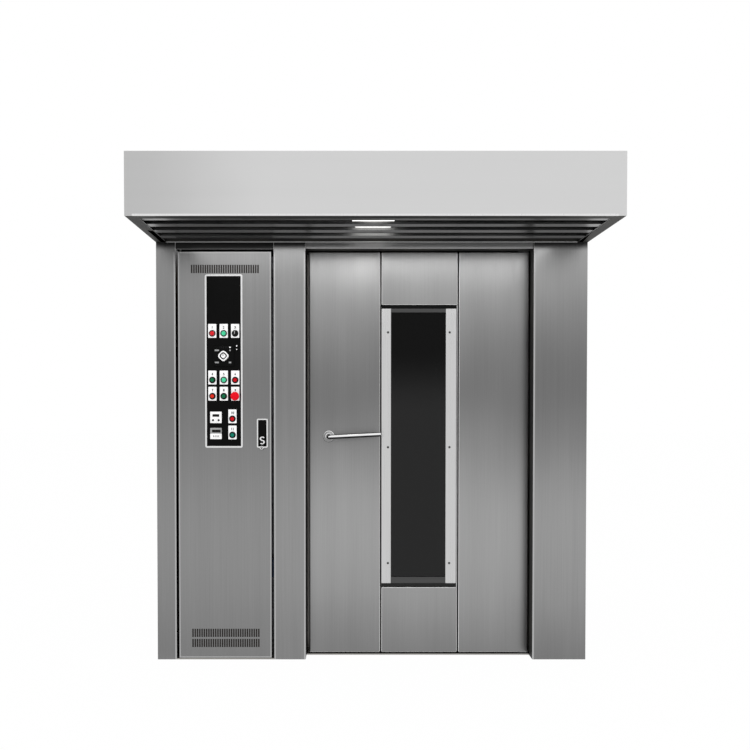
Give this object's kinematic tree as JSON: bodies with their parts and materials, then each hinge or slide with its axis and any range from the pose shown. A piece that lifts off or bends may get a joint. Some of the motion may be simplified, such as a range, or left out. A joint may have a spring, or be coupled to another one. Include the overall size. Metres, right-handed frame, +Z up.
{
  "type": "rotating rack oven",
  "caption": "Rotating rack oven: windowed chamber door, hanging rack trolley, side heat compartment, control cabinet with push-button panel, and an overhanging exhaust hood.",
  "frame": {"origin": "on the ground, under the middle of the whole footprint, hood included", "axes": "+Z up, the doors and the hood face -Y, +X is to the right of someone facing the doors"},
  "size_m": [2, 2.02, 2.2],
  "materials": {
    "casing_steel": "satin",
    "liner_steel": "satin",
    "bright_steel": "satin",
    "galvanised_steel": "matte",
    "heat_steel": "matte",
    "cast_iron": "matte",
    "chrome": "polished",
    "mineral_wool": "matte",
    "gasket_rubber": "matte",
    "window_glass": "gloss",
    "panel_black": "satin",
    "black_plastic": "matte",
    "machine_paint": "satin",
    "red_plastic": "satin",
    "orange_plastic": "satin",
    "green_plastic": "satin",
    "teal_plastic": "satin",
    "white_plastic": "satin"
  },
  "bodies": {
    "cabinet": {"left_side_panel": "casing_steel", "right_side_panel": "casing_steel", "rear_panel": "casing_steel", "floor_pan": "casing_steel", "centre_post": "casing_steel", "right_front_panel": "casing_steel", "cabinet_header": "casing_steel", "door_header": "casing_steel", "hood_shell": "casing_steel", "door_frame": "liner_steel", "chamber_liner": "liner_steel", "air_duct_panel": "liner_steel", "hood_louvre": "bright_steel", "roof_panel": "galvanised_steel", "cabinet_bulkhead": "galvanised_steel", "hood_fan_housing": "galvanised_steel", "heat_exchanger": "heat_steel", "drive_chain": "heat_steel", "steam_generator": "cast_iron", "shaft_bearing": "cast_iron", "door_hinge_upper": "cast_iron", "door_hinge_lower": "cast_iron", "chamber_insulation": "mineral_wool", "burner": "machine_paint", "gearmotor": "machine_paint", "circulation_fan_motor": "machine_paint", "hood_lamp": "white_plastic"},
    "oven_door": {"door_outer_skin": "casing_steel", "door_inner_skin": "liner_steel", "door_gasket": "gasket_rubber", "window_outer_glass": "window_glass", "window_inner_glass": "window_glass", "window_frame": "bright_steel", "handle_rosette": "chrome"},
    "door_handle": {"handle_lever": "chrome"},
    "cabinet_door": {"cabinet_door_panel": "casing_steel", "control_panel": "panel_black", "temperature_controller": "panel_black", "latch_housing": "chrome"},
    "cabinet_latch": {"latch_lever": "black_plastic"},
    "temperature_knob": {"controller_knob": "white_plastic"},
    "selector": {"selector_switch": "black_plastic"},
    "stop_button": {"emergency_stop": "red_plastic"},
    "button_lower_left": {"button_lower_left": "orange_plastic"},
    "button_lower_middle": {"button_lower_middle": "green_plastic"},
    "button_middle_left": {"button_middle_left": "green_plastic"},
    "button_middle_right": {"button_middle_right": "red_plastic"},
    "button_stack_upper": {"button_stack_upper": "red_plastic"},
    "button_stack_lower": {"button_stack_lower": "teal_plastic"},
    "rack": {"rack_shaft": "heat_steel", "rack_trolley": "liner_steel", "rack_runners_left": "liner_steel", "rack_runners_right": "liner_steel"},
    "chain_wheel": {"drive_sprocket": "cast_iron"},
    "circulation_fan": {"circulation_fan_impeller": "heat_steel"},
    "hood_fan": {"hood_fan_impeller": "galvanised_steel"},
    "wheel_front_left": {"caster_wheel_front_left": "black_plastic"},
    "wheel_rear_left": {"caster_wheel_rear_left": "black_plastic"},
    "wheel_front_right": {"caster_wheel_front_right": "black_plastic"},
    "wheel_rear_right": {"caster_wheel_rear_right": "black_plastic"}
  },
  "joints": [
    {"name": "oven_door_hinge", "type": "hinge", "parent": "cabinet", "child": "oven_door", "pos_m": [0.733, -0.409, 0], "axis": [0, 0, 1], "range_deg": [0, 90]},
    {"name": "door_handle_turn", "type": "hinge", "parent": "oven_door", "child": "door_handle", "pos_m": [-0.2015, -0.42, 1.041], "axis": [0, 1, 0], "range_deg": [0, 60], "stiffness_Nm_per_rad": 2, "springref_deg": -45.84},
    {"name": "cabinet_door_hinge", "type": "hinge", "parent": "cabinet", "child": "cabinet_door", "pos_m": [-0.8885, -0.48, 0], "axis": [0, 0, 1], "range_deg": [-110, 0]},
    {"name": "cabinet_latch_swing", "type": "hinge", "parent": "cabinet_door", "child": "cabinet_latch", "pos_m": [-0.508, -0.4935, 1.114], "axis": [-1, 0, 0], "range_deg": [0, 60]},
    {"name": "temperature_knob_turn", "type": "hinge", "parent": "cabinet_door", "child": "temperature_knob", "pos_m": [-0.6865, -0.5, 1.417], "axis": [0, -1, 0], "range_deg": [-135, 135]},
    {"name": "selector_turn", "type": "hinge", "parent": "cabinet_door", "child": "selector", "pos_m": [-0.6335, -0.5, 1.522], "axis": [0, -1, 0], "range_deg": [-45, 45]},
    {"name": "emergency_stop_press", "type": "slide", "parent": "cabinet_door", "child": "stop_button", "axis": [0, 1, 0], "range_m": [0, 0.005], "stiffness_N_per_m": 400},
    {"name": "button_lower_left_press", "type": "slide", "parent": "cabinet_door", "child": "button_lower_left", "axis": [0, 1, 0], "range_m": [0, 0.004], "stiffness_N_per_m": 400},
    {"name": "button_lower_middle_press", "type": "slide", "parent": "cabinet_door", "child": "button_lower_middle", "axis": [0, 1, 0], "range_m": [0, 0.004], "stiffness_N_per_m": 400},
    {"name": "button_middle_left_press", "type": "slide", "parent": "cabinet_door", "child": "button_middle_left", "axis": [0, 1, 0], "range_m": [0, 0.004], "stiffness_N_per_m": 400},
    {"name": "button_middle_right_press", "type": "slide", "parent": "cabinet_door", "child": "button_middle_right", "axis": [0, 1, 0], "range_m": [0, 0.004], "stiffness_N_per_m": 400},
    {"name": "button_stack_upper_press", "type": "slide", "parent": "cabinet_door", "child": "button_stack_upper", "axis": [0, 1, 0], "range_m": [0, 0.004], "stiffness_N_per_m": 400},
    {"name": "button_stack_lower_press", "type": "slide", "parent": "cabinet_door", "child": "button_stack_lower", "axis": [0, 1, 0], "range_m": [0, 0.004], "stiffness_N_per_m": 400},
    {"name": "rack_spin", "type": "hinge", "parent": "cabinet", "child": "rack", "pos_m": [0.214, 0.3003, 2], "axis": [0, 0, 1], "continuous": true},
    {"name": "chain_wheel_spin", "type": "hinge", "parent": "cabinet", "child": "chain_wheel", "pos_m": [-0.166, 0.3003, 2.09], "axis": [0, 0, 1], "continuous": true},
    {"name": "circulation_fan_spin", "type": "hinge", "parent": "cabinet", "child": "circulation_fan", "pos_m": [-0.5925, 0.33, 1.8], "axis": [0, 0, 1], "continuous": true},
    {"name": "hood_fan_spin", "type": "hinge", "parent": "cabinet", "child": "hood_fan", "pos_m": [0.6, -0.75, 2.1], "axis": [0, 0, 1], "continuous": true},
    {"name": "wheel_front_left_roll", "type": "hinge", "parent": "rack", "child": "wheel_front_left", "pos_m": [-0.076, -0.0897, 0.07], "axis": [1, 0, 0], "continuous": true},
    {"name": "wheel_rear_left_roll", "type": "hinge", "parent": "rack", "child": "wheel_rear_left", "pos_m": [-0.076, 0.6903, 0.07], "axis": [1, 0, 0], "continuous": true},
    {"name": "wheel_front_right_roll", "type": "hinge", "parent": "rack", "child": "wheel_front_right", "pos_m": [0.504, -0.0897, 0.07], "axis": [1, 0, 0], "continuous": true},
    {"name": "wheel_rear_right_roll", "type": "hinge", "parent": "rack", "child": "wheel_rear_right", "pos_m": [0.504, 0.6903, 0.07], "axis": [1, 0, 0], "continuous": true}
  ],
  "couplings": [
    {"joint": "chain_wheel_spin", "follows": "rack_spin", "ratio": 2.5333}
  ]
}
